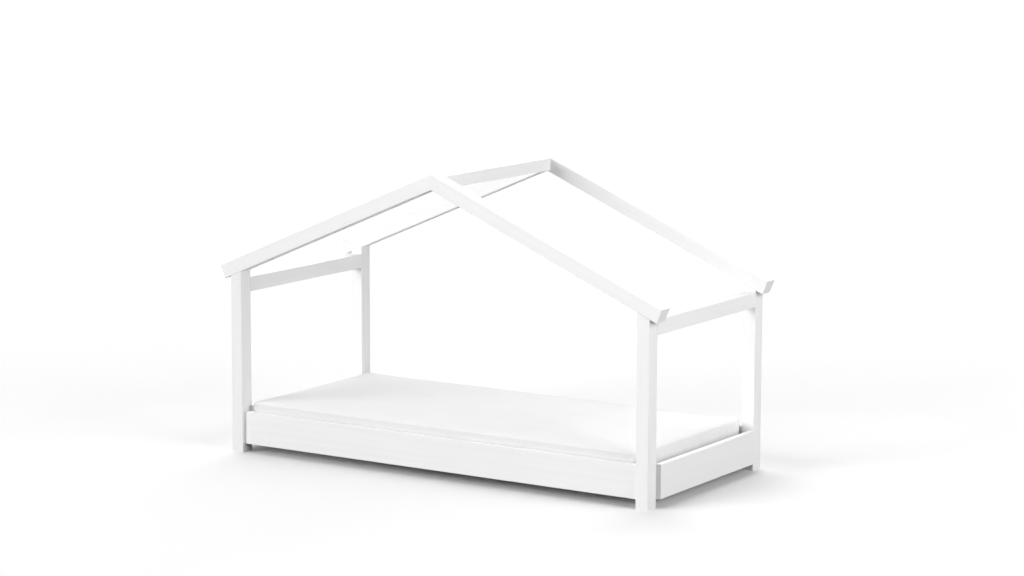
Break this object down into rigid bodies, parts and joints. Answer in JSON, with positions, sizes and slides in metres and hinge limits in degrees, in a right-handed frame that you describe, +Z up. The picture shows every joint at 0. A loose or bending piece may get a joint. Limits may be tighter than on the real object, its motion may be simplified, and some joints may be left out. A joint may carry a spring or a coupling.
{
  "type": "house frame bed",
  "caption": "Low slatted bed for a child whose timber posts, rafters and ridge beam draw the outline of a small house over the mattress.",
  "frame": {"origin": "centre of the bed's footprint, on the floor", "axes": "+X along the bed, from the left end to the right end; +Y from the front long side to the back one; +Z up"},
  "size_m": [2.241, 0.98, 1.3084],
  "materials": {
    "painted_wood": "white satin paint",
    "bare_wood": "planed, unpainted",
    "mattress_cloth": "white woven cover over foam",
    "zinc_steel": "zinc plated",
    "white_enamel": "screw heads touched over with white enamel"
  },
  "bodies": {
    "frame": {"post_front_left": "painted_wood", "post_front_right": "painted_wood", "post_back_left": "painted_wood", "post_back_right": "painted_wood", "rafter_front_left": "painted_wood", "rafter_front_right": "painted_wood", "rafter_back_left": "painted_wood", "rafter_back_right": "painted_wood", "ridge_beam": "painted_wood", "cross_beam_left": "painted_wood", "cross_beam_right": "painted_wood", "side_board_front": "painted_wood", "side_board_back": "painted_wood", "end_board_left": "painted_wood", "end_board_right": "painted_wood", "end_rail_left": "painted_wood", "end_rail_right": "painted_wood", "slat_ledger_front": "painted_wood", "slat_ledger_back": "painted_wood", "slat_01": "bare_wood", "slat_02": "bare_wood", "slat_03": "bare_wood", "slat_04": "bare_wood", "slat_05": "bare_wood", "slat_06": "bare_wood", "slat_07": "bare_wood", "slat_08": "bare_wood", "slat_09": "bare_wood", "slat_10": "bare_wood", "slat_11": "bare_wood", "slat_12": "bare_wood", "slat_13": "bare_wood", "slat_14": "bare_wood", "slat_15": "bare_wood", "slat_16": "bare_wood", "corner_bracket_front_left": "zinc_steel", "corner_bracket_front_right": "zinc_steel", "corner_bracket_back_left": "zinc_steel", "corner_bracket_back_right": "zinc_steel", "bracket_screws": "zinc_steel", "slat_screws": "zinc_steel", "ledger_screws": "zinc_steel", "end_board_screws": "zinc_steel", "rafter_screws": "white_enamel", "rafter_dowels": "bare_wood", "apex_dowels": "bare_wood", "ridge_dowels": "bare_wood", "cross_beam_dowels": "bare_wood", "side_board_dowels": "bare_wood", "end_rail_dowels": "bare_wood"},
    "mattress": {"mattress": "mattress_cloth"}
  },
  "joints": [
    {"name": "mattress_lift", "type": "slide", "parent": "frame", "child": "mattress", "axis": [0, 0, 1], "range_m": [0, 0.12]}
  ]
}
